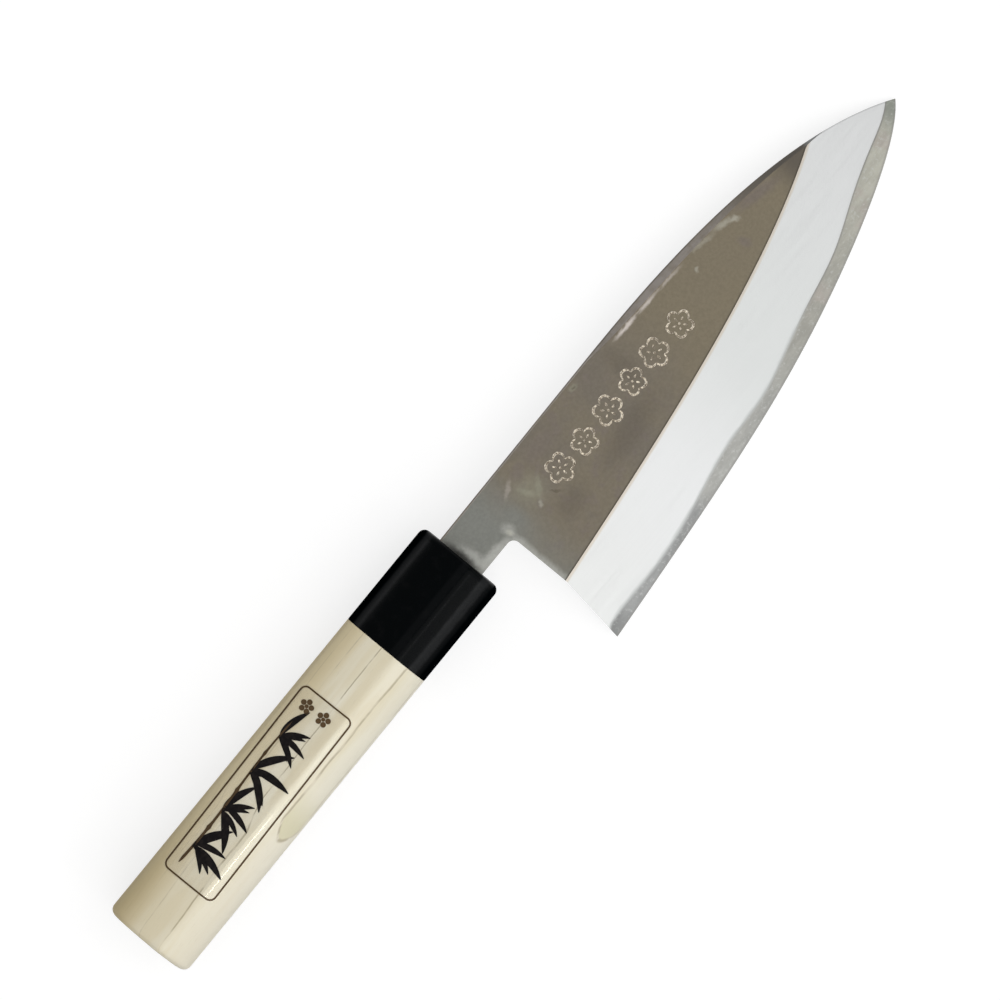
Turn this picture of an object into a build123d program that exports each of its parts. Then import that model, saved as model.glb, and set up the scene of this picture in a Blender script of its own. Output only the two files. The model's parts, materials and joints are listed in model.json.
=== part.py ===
from build123d import *
import os
from math import cos, hypot, radians, sin

os.makedirs("parts", exist_ok=True)

# Deba knife: a right-handed, single-bevel fish knife with a stick tang in a wooden handle.
# Sizes are millimetres. While it is built, the knife lies along X, with its point towards +X and
# its spine towards +Y. Zero is on the handle's axis where the neck leaves the ferrule, and the
# flat back of the blade is at Z = 0. At the end all pieces are turned together into the way the
# knife lies on a table, on its ferrule and its cutting edge.

# Blade outline, seen on the bevelled side
blade_length = 150.7  # heel to point, measured along the handle
heel_reach = 9.5  # ferrule to the corner of the heel
heel_face_reach = 12.2  # ferrule to the face of the heel, above the bevel
heel_drop = 43.4  # handle axis down to the corner of the heel
point_drop = 11.4  # handle axis down to the point
neck_drop = 6.75  # handle axis down to the lower side of the neck
spine_rise = 7.1  # handle axis up to the spine at the ferrule
spine_crest = 7.45  # the same where the spine begins to fall
straight_spine = 58.8  # ferrule to where the spine begins to fall
point_angle = 34.3  # slope of the spine at the point, degrees
choil_radius = 2.0
spine_handle_shares = (0.24, 0.32)  # pull of the spine's two ends, of the way between them

# Cutting edge from heel to point, as shares of the way along and of the way up
edge_shares = ((0.0, 0.0), (0.59, 0.22), (0.51, 0.26), (0.91, 0.57), (1.0, 1.0))

# Bevel
bevel_width = 19.0  # at the heel, square to the handle
bevel_width_shares = (1.0, 1.09, 1.2, 0.93, 1.37)
edge_land = 0.12  # thickness left at the cutting edge
rail_shares = (-0.3, 1.6)  # how far the grinding surface runs past the bevel, of its width
rail_overrun_share = 0.04  # the same past its two ends, of its length

# Blade thickness
blade_thickness = 5.4  # at the ferrule
point_thickness = 2.7  # of the flat side, where it would reach the point
spine_chamfer = 0.5  # depth of the facet along the spine, and its width beside the ferrule
spine_facet_shares = (1.0, 8.8, 0.8, 0.5)  # its width along the curved front, of the chamfer
facet_rail_shares = (-3, 3)  # how far the filing surface runs past the facet, of its width

# Hard steel layer on the back of the blade
layer_thickness = 0.85
layer_start = 4.8  # ferrule to the rear end of the layer
layer_scarf = 6.0  # length over which the layer thins out to its rear end
layer_shares = (1.22, 0.92, 0.79, 1.04, 1.17, 0.88, 0.97, 1.0, 0.88, 1.02, 0.87, 0.55)

# Shallow hollow in the back of the blade
hollow_depth = 0.32
hollow_rim = 2.4  # flat rim left along the edge and the spine
hollow_shares = (0.06, 0.2, 0.4, 0.62, 0.8, 0.93)  # stations, of the blade's length
hollow_depth_shares = (0.1, 0.8, 1.0, 0.8, 0.5, 0.1)
hollow_width_shares = (0.55, 0.98, 1.0, 1.0, 0.95, 0.4)  # of the room between the rims

# Tang
shoulder_depth = 2.5  # how far the neck goes into the ferrule
tang_reach = 94.0  # ferrule front to the end of the tang
tang_height = 10.4
tang_thickness = 4.2
tang_end_height = 6.0
tang_end_thickness = 3.0

# Handle section
handle_length = 126.0  # ferrule included
handle_height = 25.0
back_depth = 9.75  # axis to the back of the handle
ridge_rise = 10.9  # axis to the ridge on the bevelled side
ridge_drop = 3.6  # axis down to the ridge
ridge_round = 3.0
butt_round = 2.0
circle_share = 0.5523  # pull that makes a quarter of an oval
spine_flank_shares = (0.68, 0.46, 0.14)  # corner pull, ridge pull and fall beside the ridge
edge_flank_shares = (0.6, 0.5, 0.2)

# Ferrule
ferrule_length = 30.3
ferrule_wall = 6.0  # front wall, which holds the slot
ferrule_round = 2.0
slot_clearance = 0.4
tenon_diameter = 17.0
tenon_clearance = 0.1
tenon_end_gap = 0.3

# Tang hole and seal
tang_clearance = 0.2
tang_hole_spare = 3.0
seal_recess = 0.6  # seal below the front face of the ferrule

# Label film
label_length = 61.0
label_width = 18.5
label_round = 3.0
label_thickness = 0.12
label_reach = 78.7  # ferrule front back to the middle of the label
label_rise = 2.1  # axis up to the middle of the label
label_turn = 1.2  # degrees, as it was stuck on

# Way the knife lies: where on its curve the edge touches the table, so that the whole balances
resting_share = 0.63

# One overrun for all cuts
overrun = 5.0

heel_corner = Vector(heel_reach, -heel_drop)
point = Vector(heel_reach + blade_length, -point_drop)
axis_height = blade_thickness / 2
back_end = -handle_length
joint_place = -ferrule_length


def curve_start(points, share):
    """Control points of the part of a curve from its start to a share of it."""
    start = []
    while points:
        start.append(points[0])
        points = [one + (two - one) * share for one, two in zip(points, points[1:])]
    return start


def lengthened(points, share):
    """The same curve run on past both ends by a share of its length."""
    forward = curve_start(points, 1 + share)
    return curve_start(forward[::-1], 1 + share)


def height_at(points, reach):
    """Height of a curve at one reach from the ferrule."""
    low, high = 0.0, 1.0
    for step in range(40):
        middle = (low + high) / 2
        if curve_start(points, middle)[-1].X < reach:
            low = middle
        else:
            high = middle
    return curve_start(points, middle)[-1].Y


def flat_height(reach):
    """Height of the flat side above the back, which thins out towards the point."""
    return blade_thickness - (blade_thickness - point_thickness) * reach / point.X


edge_points = []
for along_share, up_share in edge_shares:
    reach = heel_reach + along_share * blade_length
    edge_points.append(Vector(reach, up_share * (heel_drop - point_drop) - heel_drop))

spine_start = Vector(straight_spine, spine_crest)
spine_way = (point - spine_start).length
spine_slope = (spine_start - Vector(0, spine_rise)).normalized()
point_slope = Vector(cos(radians(point_angle)), -sin(radians(point_angle)))
spine_points = [
    spine_start,
    spine_start + spine_slope * spine_way * spine_handle_shares[0],
    point - point_slope * spine_way * spine_handle_shares[1],
    point,
]


# The straight part of the spine, run on past the ferrule and, in line, past its front end
straight_ends = [
    spine_start - spine_slope * (straight_spine + handle_length),
    spine_start + spine_slope * straight_spine,
]


def spine_height(reach):
    if reach < straight_spine:
        return spine_rise + (spine_crest - spine_rise) * reach / straight_spine
    return height_at(spine_points, reach)


def bevel_rail(width_share):
    """A line of the bevel's surface: share 0 is at the cutting edge, share 1 at its top."""
    rail = []
    for edge_point, bevel_share in zip(edge_points, bevel_width_shares):
        rise = width_share * (flat_height(edge_point.X) - edge_land)
        across = width_share * bevel_width * bevel_share
        rail.append(edge_point + Vector(0, across, edge_land + rise))
    return lengthened(rail, rail_overrun_share)


def spine_rail(ends, share):
    """A line of the facet along the spine: share 0 is on the spine, share 1 on the flat side."""
    widths = spine_facet_shares if ends is spine_points else [spine_facet_shares[0]] * len(ends)
    rail = []
    for spine_point, width_share in zip(ends, widths):
        height = flat_height(spine_point.X) - (1 - share) * spine_chamfer
        rail.append(spine_point + Vector(0, -share * spine_chamfer * width_share, height))
    return rail


def blade_blank():
    """The forged blank: outline, flat side, bevel and the facet filed along the spine."""
    neck_back = Vector(-shoulder_depth, -neck_drop)
    choil = Vector(heel_face_reach, -neck_drop)
    bevel_corner = Vector(heel_face_reach, bevel_width - heel_drop)
    outline = [
        Line(neck_back, choil),
        Line(choil, bevel_corner),
        Line(bevel_corner, heel_corner),
        Bezier(*edge_points),
        Bezier(*spine_points),
        Line(spine_start, Vector(0, spine_rise)),
        Line(Vector(0, spine_rise), Vector(-shoulder_depth, spine_rise)),
        Line(Vector(-shoulder_depth, spine_rise), neck_back),
    ]
    blank = extrude(make_face(outline), amount=blade_thickness + overrun)
    choil_edge = blank.edges().filter_by(Axis.Z).sort_by_distance(choil)[0]
    blank = fillet(choil_edge, choil_radius)

    high = blade_thickness + 2 * overrun
    near, far = back_end, point.X + overrun
    above = Polyline(
        Vector(near, -2 * heel_drop, flat_height(near)),
        Vector(far, -2 * heel_drop, flat_height(far)),
        Vector(far, -2 * heel_drop, high),
        Vector(near, -2 * heel_drop, high),
        close=True,
    )
    blank -= extrude(make_face(above), amount=4 * heel_drop, dir=(0, 1, 0))

    low_rail, high_rail = [Bezier(*bevel_rail(share)) for share in rail_shares]
    grinding = Face.make_surface_from_curves(low_rail, high_rail)
    blank -= Solid.extrude(grinding, Vector(0, 0, 2 * overrun))

    for ends in (straight_ends, spine_points):
        spine_rails = [Bezier(*spine_rail(ends, share)) for share in facet_rail_shares]
        filing = Face.make_surface_from_curves(*spine_rails)
        blank -= Solid.extrude(filing, Vector(0, 0, 2 * overrun))
    return blank


def steel_zone():
    """Everything below the weld between the iron and the hard steel."""
    side = -2 * heel_drop
    weld = []
    for index, layer_share in enumerate(layer_shares):
        reach = heel_face_reach + (point.X - heel_face_reach) * index / (len(layer_shares) - 1)
        weld.append(Vector(reach, side, layer_thickness * layer_share))
    rear = Vector(layer_start, side, 0)
    scarf_end = Vector(layer_start + layer_scarf, side, weld[0].Z)
    front = Vector(point.X + overrun, side, weld[-1].Z)
    rim = [
        Line(rear, scarf_end),
        Line(scarf_end, weld[0]),
        Spline(*weld, tangents=[(1, 0, 0), (1, 0, 0)]),
        Line(weld[-1], front),
        Line(front, Vector(front.X, side, -overrun)),
        Line(Vector(front.X, side, -overrun), Vector(layer_start, side, -overrun)),
        Line(Vector(layer_start, side, -overrun), rear),
    ]
    return extrude(make_face(rim), amount=4 * heel_drop, dir=(0, 1, 0))


def back_hollow():
    """Shallow hollow that keeps food from sticking to the back of the blade."""
    sections = []
    for place_share, depth_share, width_share in zip(
        hollow_shares, hollow_depth_shares, hollow_width_shares
    ):
        reach = heel_face_reach + place_share * (point.X - heel_face_reach)
        low = height_at(edge_points, reach) + hollow_rim
        high = spine_height(reach) - hollow_rim
        middle, half = (low + high) / 2, (high - low) / 2 * width_share
        low_rim, high_rim = Vector(reach, middle - half), Vector(reach, middle + half)
        top = Vector(reach, middle, hollow_depth * depth_share)
        down = Vector(0, 0, -overrun)
        section = [
            ThreePointArc(low_rim, top, high_rim),
            Line(high_rim, high_rim + down),
            Line(high_rim + down, low_rim + down),
            Line(low_rim + down, low_rim),
        ]
        sections.append(Wire(section))
    return Solid.make_loft(sections)


def tapered_bar(start, start_size, end, end_size):
    """Bar along the handle's axis with a height and a thickness at each end."""
    ends = []
    for place, (height, thickness) in ((start, start_size), (end, end_size)):
        across = Plane(origin=(place, 0, axis_height), x_dir=(0, 1, 0), z_dir=(1, 0, 0))
        ends.append((across * Rectangle(height, thickness)).wire())
    return Solid.make_loft(ends)


def tang(clearance, spare):
    """The tang, or the hole for it with a clearance all round and some spare depth."""
    front = (tang_height + 2 * clearance, tang_thickness + 2 * clearance)
    end = (tang_end_height + 2 * clearance, tang_end_thickness + 2 * clearance)
    return tapered_bar(-shoulder_depth, front, -tang_reach - spare, end)


def flank(side, height, rise, flank_shares, crest):
    """Curve of the handle's section from its widest place up to the ridge."""
    corner_share, ridge_share, fall_share = flank_shares
    widest = Vector(0, side * height)
    span = side * height - crest.Y
    return Bezier(
        widest,
        widest + Vector(0, 0, corner_share * rise),
        crest + Vector(0, span * ridge_share, -fall_share * rise),
        crest,
    )


def handle_bar(start, end, growth):
    """The handle's chestnut-shaped section run along the axis, with its soft ridge."""
    height, depth, rise = [size + growth for size in (handle_height / 2, back_depth, ridge_rise)]
    crest = Vector(0, -ridge_drop, rise)
    section = [
        flank(1, height, rise, spine_flank_shares, crest),
        flank(-1, height, rise, edge_flank_shares, crest),
    ]
    for side in (1, -1):
        widest, bottom = Vector(0, side * height), Vector(0, 0, -depth)
        pull = Vector(0, side * height * circle_share)
        section.append(Bezier(widest, widest + bottom * circle_share, bottom + pull, bottom))
    face = Location((start, 0, axis_height)) * make_face(section)
    bar = extrude(face, amount=end - start, dir=(1, 0, 0))
    ridge = bar.edges().filter_by(Axis.X).sort_by(Axis.Z)[-1]
    return fillet(ridge, ridge_round + growth)


def rounded_end(bar, place, radius):
    """Rounds the outer edge of the end face at one place along the handle."""
    ends = [face for face in bar.faces().filter_by(Axis.X) if abs(face.center().X - place) < radius]
    return fillet(ends[0].outer_wire().edges(), radius)


def rod(start, end, radius):
    across = Plane(origin=(start, 0, axis_height), z_dir=(1, 0, 0))
    return extrude(across * Circle(radius), amount=end - start)


def slot_block(start, end):
    """Space of the slot in the ferrule's front wall."""
    height = spine_rise + neck_drop + 2 * slot_clearance
    size = (height, blade_thickness + 2 * slot_clearance)
    middle = Vector(0, (spine_rise - neck_drop) / 2)
    return Location(middle) * tapered_bar(start, size, end, size)


def label_outline():
    """Rounded sheet that cuts the label out of the film, standing over the bevelled side."""
    sheet = RectangleRounded(label_length, label_width, label_round)
    place = Location((-label_reach, label_rise, axis_height), (0, 0, label_turn))
    return extrude(place * sheet, amount=ridge_rise + overrun)


blank = blade_blank()
steel = steel_zone()
iron_body = blank - steel + tang(0, 0)
steel_layer = blank & steel
steel_layer -= back_hollow()

wall_back = -ferrule_wall
socket = rod(joint_place - overrun, wall_back, tenon_diameter / 2 + tenon_clearance)
ferrule = rounded_end(handle_bar(joint_place, 0, 0), 0, ferrule_round)
ferrule -= socket
ferrule -= slot_block(wall_back - overrun, overrun)

handle_body = rounded_end(handle_bar(back_end, joint_place, 0), back_end, butt_round)
handle_body += rod(joint_place, wall_back - tenon_end_gap, tenon_diameter / 2)
handle_body -= tang(tang_clearance, tang_hole_spare)

tang_seal = slot_block(wall_back, -seal_recess) - iron_body

film = handle_bar(back_end, joint_place, label_thickness) - handle_bar(back_end, joint_place, 0)
handle_label = film & label_outline()

pieces = {
    "iron_body": iron_body,
    "steel_layer": steel_layer,
    "ferrule": ferrule,
    "handle_body": handle_body,
    "tang_seal": tang_seal,
    "handle_label": handle_label,
}


def lying_plane():
    """Table under the resting knife: it touches the ferrule's back and, along its slope, the edge."""
    belly = curve_start(edge_points, resting_share)
    touch = belly[-1]
    edge_slope = (belly[-1] - belly[-2]).normalized()
    up = Vector(0, 0, 1)
    half_height = handle_height / 2
    for step in range(10):
        reach = hypot(half_height * up.Y, back_depth * up.Z)
        foot_across = half_height**2 * up.Y / reach
        foot_depth = back_depth**2 * up.Z / reach
        foot = Vector(-ferrule_round, -foot_across, axis_height - foot_depth)
        up = edge_slope.cross(touch - foot).normalized()
        if up.Z < 0:
            up = -up
    ahead = (Vector(1, 0, 0) - up * up.X).normalized()
    return Plane(origin=foot, x_dir=ahead, z_dir=up)


table = lying_plane()
lying = {name: table.to_local_coords(piece) for name, piece in pieces.items()}
boxes = [piece.bounding_box() for piece in lying.values()]
ends = [(min(box.min.X for box in boxes), max(box.max.X for box in boxes))]
ends.append((min(box.min.Y for box in boxes), max(box.max.Y for box in boxes)))
middle = Vector(sum(ends[0]) / 2, sum(ends[1]) / 2, min(box.min.Z for box in boxes))
for name, piece in lying.items():
    export_step(Location(-middle) * piece, f"parts/{name}.step")

# Faces that something else can meet: a point on each, and the way the face looks
heel_flat = Vector(
    heel_face_reach + hollow_shares[0] / 2 * (point.X - heel_face_reach),
    -(heel_drop + neck_drop) / 2,
)
interfaces = {
    "blade_back": (heel_flat, Vector(0, 0, -1)),
    "butt_face": (Vector(back_end, 0, axis_height), Vector(-1, 0, 0)),
    "grip": (Vector(back_end / 2, 0, axis_height), Vector(-1, 0, 0)),
}
for name, (place, facing) in interfaces.items():
    spot = table.to_local_coords(place) - middle
    way = table.to_local_coords(place + facing) - table.to_local_coords(place)
    print(name, [round(value / 1000, 6) for value in spot], [round(value, 6) for value in way])
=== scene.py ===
import json
import math

import bmesh
import bpy
import numpy as np
from mathutils import Matrix, Vector


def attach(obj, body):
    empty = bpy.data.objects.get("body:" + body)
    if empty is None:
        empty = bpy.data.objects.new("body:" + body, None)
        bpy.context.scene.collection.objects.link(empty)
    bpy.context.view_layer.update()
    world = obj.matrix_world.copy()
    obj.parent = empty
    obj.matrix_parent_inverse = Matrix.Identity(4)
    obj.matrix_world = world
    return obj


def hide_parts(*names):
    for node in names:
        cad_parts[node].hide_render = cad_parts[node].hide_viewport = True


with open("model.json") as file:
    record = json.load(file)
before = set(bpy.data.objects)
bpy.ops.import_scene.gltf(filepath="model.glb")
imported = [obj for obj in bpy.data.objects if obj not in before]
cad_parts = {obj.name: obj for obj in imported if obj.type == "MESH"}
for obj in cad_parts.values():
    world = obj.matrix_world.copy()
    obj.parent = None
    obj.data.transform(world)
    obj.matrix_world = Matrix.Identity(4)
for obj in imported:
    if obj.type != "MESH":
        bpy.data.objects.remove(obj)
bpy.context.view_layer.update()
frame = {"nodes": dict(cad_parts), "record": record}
print("frame loaded:", ", ".join(sorted(frame["nodes"])))

# The knife is drawn in its own frame, in millimetres: X runs to the point, Y to the spine, and
# the blade's flat back is at Z = 0. Two mounts of the record say how it lies on the table.
knife = {
    "handleLength": 126.0,
    "axisHeight": 2.7,  # handle axis above the blade's back
    "bladeThickness": 5.4,
    "pointThickness": 2.7,
    "pointReach": 160.2,
}


def knifePlacing():
    mounts = {mount["name"]: mount for mount in frame["record"]["mounts"]}
    alongX = -Vector(mounts["butt_face"]["axis"]).normalized()
    acrossY = (-Vector(mounts["blade_back"]["axis"])).cross(alongX).normalized()
    upZ = alongX.cross(acrossY)
    turn = Matrix((alongX, acrossY, upZ)).transposed()
    butt = Vector((-knife["handleLength"], 0, knife["axisHeight"])) / 1000
    start = Vector(mounts["butt_face"]["pos_m"]) - turn @ butt
    return Matrix.Translation(start) @ turn.to_4x4() @ Matrix.Scale(0.001, 4)


toTable = knifePlacing()
toKnife = toTable.inverted()

# Node trees: new nodes go into the tree that is on the bench

bench = {}


class Wire:
    # what a node gives out, ready to be added to, multiplied and so on

    def __init__(self, socket):
        self.socket = socket

    def __add__(self, other):
        return calc("ADD", self, other)

    def __sub__(self, other):
        return calc("SUBTRACT", self, other)

    def __rsub__(self, other):
        return calc("SUBTRACT", other, self)

    def __mul__(self, other):
        return calc("MULTIPLY", self, other)

    def __truediv__(self, other):
        return calc("DIVIDE", self, other)

    def __rtruediv__(self, other):
        return calc("DIVIDE", other, self)


def feed(node, ins):
    for key, value in ins.items():
        if isinstance(value, Wire):
            bench["tree"].links.new(value.socket, node.inputs[key])
        else:
            node.inputs[key].default_value = value


def put(kind, ins=None, out=0, **settings):
    # out is the output that is wanted, or a list of them
    node = bench["tree"].nodes.new(kind)
    for key, value in settings.items():
        setattr(node, key, value)
    feed(node, ins or {})
    if isinstance(out, list):
        return [Wire(node.outputs[key]) for key in out]
    return Wire(node.outputs[out])


def geo(kind, ins=None, out=0, **settings):
    return put("GeometryNode" + kind, ins, out, **settings)


def calc(operation, *terms, clamp=False):
    return put("ShaderNodeMath", dict(enumerate(terms)), operation=operation, use_clamp=clamp)


def onVectors(operation, *terms, **ins):
    out = "Value" if operation == "LENGTH" else 0
    return put("ShaderNodeVectorMath", dict(enumerate(terms), **ins), out, operation=operation)


def xyz(wire):
    return put("ShaderNodeSeparateXYZ", {0: wire}, [0, 1, 2])


def vector(*parts):
    return put("ShaderNodeCombineXYZ", dict(enumerate(parts)))


def ramp(value, low, high, first=0.0, second=1.0, smooth=True):
    # value from low to high becomes first to second
    kind = "SMOOTHSTEP" if smooth else "LINEAR"
    ins = {"Value": value, "From Min": low, "From Max": high, "To Min": first, "To Max": second}
    return put("ShaderNodeMapRange", ins, interpolation_type=kind)


def band(value, low, high, soft):
    # 1 between low and high, fading to 0 over soft on both sides
    return ramp(value, low - soft, low) * ramp(value, high, high + soft, 1.0, 0.0)


def newTree(name, values):
    # a Geometry Nodes tree with a named input for each value
    kinds = {int: "Int", float: "Float", tuple: "Vector", type(None): "Geometry",
             bpy.types.Material: "Material", bpy.types.Object: "Object"}
    tree = bench["tree"] = bpy.data.node_groups.new(name, "GeometryNodeTree")
    tree.interface.new_socket("Geometry", in_out="OUTPUT", socket_type="NodeSocketGeometry")
    for label, value in values.items():
        kind = next(kinds[group] for group in kinds if isinstance(value, group))
        tree.interface.new_socket(label, in_out="INPUT", socket_type="NodeSocket" + kind)
    return dict(zip(values, put("NodeGroupInput", None, list(values))))


def endTree(geometry, material):
    ins = {"Geometry": geo("RealizeInstances", {0: geometry}), "Material": material}
    put("NodeGroupOutput", {0: geo("SetMaterial", ins)}, [])
    return bench["tree"]


def joined(*parts):
    node = bench["tree"].nodes.new("GeometryNodeJoinGeometry")
    for part in parts:
        bench["tree"].links.new(part.socket, node.inputs[0])
    return Wire(node.outputs[0])


def spread(count, place, part, **more):
    # one copy of a part on each of so many points
    points = geo("Points", {"Count": count, "Position": place})
    return geo("InstanceOnPoints", dict({"Points": points, "Instance": part}, **more))


def turned(count, part):
    # copies of one part turned evenly round Z
    angle = geo("InputIndex") * (2 * math.pi / count)
    return spread(count, (0.0, 0.0, 0.0), part, Rotation=vector(0.0, 0.0, angle))


def randomNumber(low, high, seed):
    return put("FunctionNodeRandomValue", {2: low, 3: high, "Seed": seed}, 1)


# Curves and meshes

def bezier(points, shares):
    rows = [np.outer(np.ones_like(shares), point) for point in np.asarray(points, float)]
    rest, share = (1 - shares)[:, None], shares[:, None]
    while len(rows) > 1:
        rows = [rest * one + share * two for one, two in zip(rows, rows[1:])]
    return rows[0]


def clampedSpline(places, values):
    # cubic through the values with level ends, as a function of the place
    places, values = np.asarray(places, float), np.asarray(values, float)
    gaps, rises = np.diff(places), np.diff(values) / np.diff(places)
    size = len(places)
    table, right = np.eye(size), np.zeros(size)
    for i in range(1, size - 1):
        table[i, i - 1 : i + 2] = gaps[i], 2 * (gaps[i - 1] + gaps[i]), gaps[i - 1]
        right[i] = 3 * (gaps[i] * rises[i - 1] + gaps[i - 1] * rises[i])
    slopes = np.linalg.solve(table, right)

    def at(place):
        place = np.clip(place, places[0], places[-1])
        i = np.clip(np.searchsorted(places, place) - 1, 0, size - 2)
        gap, t = gaps[i], (place - places[i]) / gaps[i]
        start = values[i] * (1 + 2 * t) * (1 - t) ** 2 + gap * slopes[i] * t * (1 - t) ** 2
        return start + values[i + 1] * t * t * (3 - 2 * t) - gap * slopes[i + 1] * t * t * (1 - t)

    return at


def newObject(name, data):
    made = bpy.data.objects.new(name, data)
    bpy.context.scene.collection.objects.link(made)
    return made


def plainMesh(made):
    # turns what the modifiers make into the object's own mesh
    depsgraph = bpy.context.evaluated_depsgraph_get()
    result = bpy.data.meshes.new_from_object(made.evaluated_get(depsgraph), depsgraph=depsgraph)
    made.modifiers.clear()
    made.data = result
    return made


def cleaned(made, distance=0.0005):
    shape = bmesh.new()
    shape.from_mesh(made.data)
    bmesh.ops.remove_doubles(shape, verts=shape.verts, dist=distance)
    bmesh.ops.dissolve_degenerate(shape, edges=shape.edges, dist=distance)
    bmesh.ops.recalc_face_normals(shape, faces=shape.faces)
    shape.to_mesh(made.data)
    shape.free()
    return made


def skin(name, rings, materials, rowKinds=None):
    # a closed skin over rings that all have the same number of points
    count, around = rings.shape[:2]
    rowKinds = rowKinds or [0] * around
    faces, kinds = [], []
    for i in range(count - 1):
        for j in range(around):
            k = (j + 1) % around
            faces.append([i * around + j, i * around + k, (i + 1) * around + k, (i + 1) * around + j])
            kinds.append(rowKinds[j])
    for end in (0, count - 1):
        faces.append([end * around + j for j in range(around)])
        kinds.append(rowKinds[-1])
    mesh = bpy.data.meshes.new(name)
    mesh.from_pydata(rings.reshape(-1, 3).tolist(), [], faces)
    for material in materials:
        mesh.materials.append(material)
    mesh.polygons.foreach_set("material_index", kinds)
    return cleaned(newObject(name, mesh))


def combined(made, tool, operation="DIFFERENCE"):
    change = made.modifiers.new(operation.lower(), "BOOLEAN")
    change.operation, change.solver, change.object = operation, "EXACT", tool
    change.material_mode = "TRANSFER"
    plainMesh(made)
    bpy.data.objects.remove(tool)
    return made


def grow(name, tree, values, base=None):
    # runs a Geometry Nodes tree and keeps its result as a plain mesh
    made = newObject(name, base or bpy.data.meshes.new(name))
    change = made.modifiers.new(tree.name, "NODES")
    change.node_group = tree
    for item in tree.interface.items_tree:
        if item.in_out == "INPUT" and values[item.name] is not None:
            change[item.identifier] = values[item.name]
    return plainMesh(made)


def vertexSpots(mesh):
    spots = np.zeros(len(mesh.vertices) * 3)
    mesh.vertices.foreach_get("co", spots)
    return spots.reshape(-1, 3)


def storeMarks(mesh, marks):
    # distances on the vertices, for the finishes to read
    for name, values in marks.items():
        stored = mesh.attributes.new(name, "FLOAT", "POINT")
        stored.data.foreach_set("value", values.astype(np.float32))


def settle(made, node, sharpAngle):
    made.data.transform(toTable)
    made.data.shade_smooth()
    made.data.set_sharp_from_angle(angle=math.radians(sharpAngle))
    made.data.update()
    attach(made, "root")
    if node:
        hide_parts(node)
    print(f"  {made.name}: {len(made.data.polygons)} faces")


# Finishes: a look's roughness is one number, or what the darkest and the lightest grain get,
# and its relief is the strength and the depth in metres

def srgb(red, green, blue):
    shares = [value / 255 for value in (red, green, blue)]
    linear = [s / 12.92 if s <= 0.04045 else ((s + 0.055) / 1.055) ** 2.4 for s in shares]
    return (*linear, 1.0)


def newMaterial(name):
    material = bpy.data.materials.new(name)
    material.use_nodes = True
    bench["tree"] = material.node_tree
    return material


def finish(name):
    # a new material, and the knife's coordinates in millimetres
    material = newMaterial(name)
    place, turn, scale = toKnife.decompose()
    ins = {"Vector": put("ShaderNodeTexCoord", out="Object"), "Location": place,
           "Rotation": turn.to_euler(), "Scale": scale}
    coords = put("ShaderNodeMapping", ins)
    return material, coords


def attribute(name):
    return put("ShaderNodeAttribute", out="Fac", attribute_name=name)


def noise(coords, size, detail=2.0, roughness=0.5):
    # size is how fine the noise is, as one number or along X, Y and Z
    if isinstance(size, tuple):
        coords, size = put("ShaderNodeMapping", {"Vector": coords, "Scale": size}), 1.0
    ins = {"Vector": coords, "Scale": size, "Detail": detail, "Roughness": roughness}
    return put("ShaderNodeTexNoise", ins)


def mixed(share, first, second, mode="MIX"):
    ins = {0: share, 6: first, 7: second}
    return put("ShaderNodeMix", ins, 2, data_type="RGBA", blend_type=mode)


def coated(look, colour, *coats):
    # coats of the look's colours, each over the ones before
    colour = look[colour] if isinstance(colour, str) else colour
    for share, name in coats:
        colour = mixed(share, colour, look[name])
    return colour


def brushed(colour, lines, share):
    # fine lines laid over a colour, lighter and darker in turn
    return mixed(share, colour, mixed(lines, (0.3, 0.3, 0.3, 1), (0.7, 0.7, 0.7, 1)), "OVERLAY")


def relief(height, strength, distance):
    return put("ShaderNodeBump", {"Height": height, "Strength": strength, "Distance": distance})


def dressed(material, look, colour, grain, **more):
    rough = look["roughness"]
    ins = {"Base Color": colour, "Metallic": look.get("metallic", 0.0)}
    ins["Roughness"] = ramp(grain, 0.3, 0.7, *rough) if isinstance(rough, tuple) else rough
    if "relief" in look:
        ins["Normal"] = relief(grain, *look["relief"])
    if "specular" in look:
        ins["Specular IOR Level"] = look["specular"]
    feed(material.node_tree.nodes["Principled BSDF"], dict(ins, **more))
    return material


# Finishes of the blade

def wobbled(coords, size, amount):
    # the same coordinates, pushed about by noise, so that marks lose their even outline
    cloud = put("ShaderNodeTexNoise", {"Vector": coords, "Scale": size, "Detail": 3.0}, "Color")
    cloud = onVectors("ADD", cloud, (-0.5, -0.5, -0.5))
    return onVectors("MULTIPLY_ADD", cloud, (2 * amount, 2 * amount, 0), coords)


def inTurn(x, stops):
    # colours that follow one another from the heel to the point
    colour = stops[0][1]
    for (start, _), (end, following) in zip(stops, stops[1:]):
        colour = mixed(ramp(x, start, end), colour, following)
    return colour


throughBlade = 1000.0  # marks go right through the blade's thickness


def mark(coords, x, y, length, width, turn):
    # 1 in the middle of an ellipse on the blade's face, fading out to its rim
    ins = {"Vector": coords, "Location": (x, y, 0), "Rotation": (0, 0, math.radians(turn)),
           "Scale": (length, width, throughBlade)}
    inner = put("ShaderNodeMapping", ins, vector_type="TEXTURE")
    return ramp(onVectors("LENGTH", inner), 0.2, 1.2, 1.0, 0.0)


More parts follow.
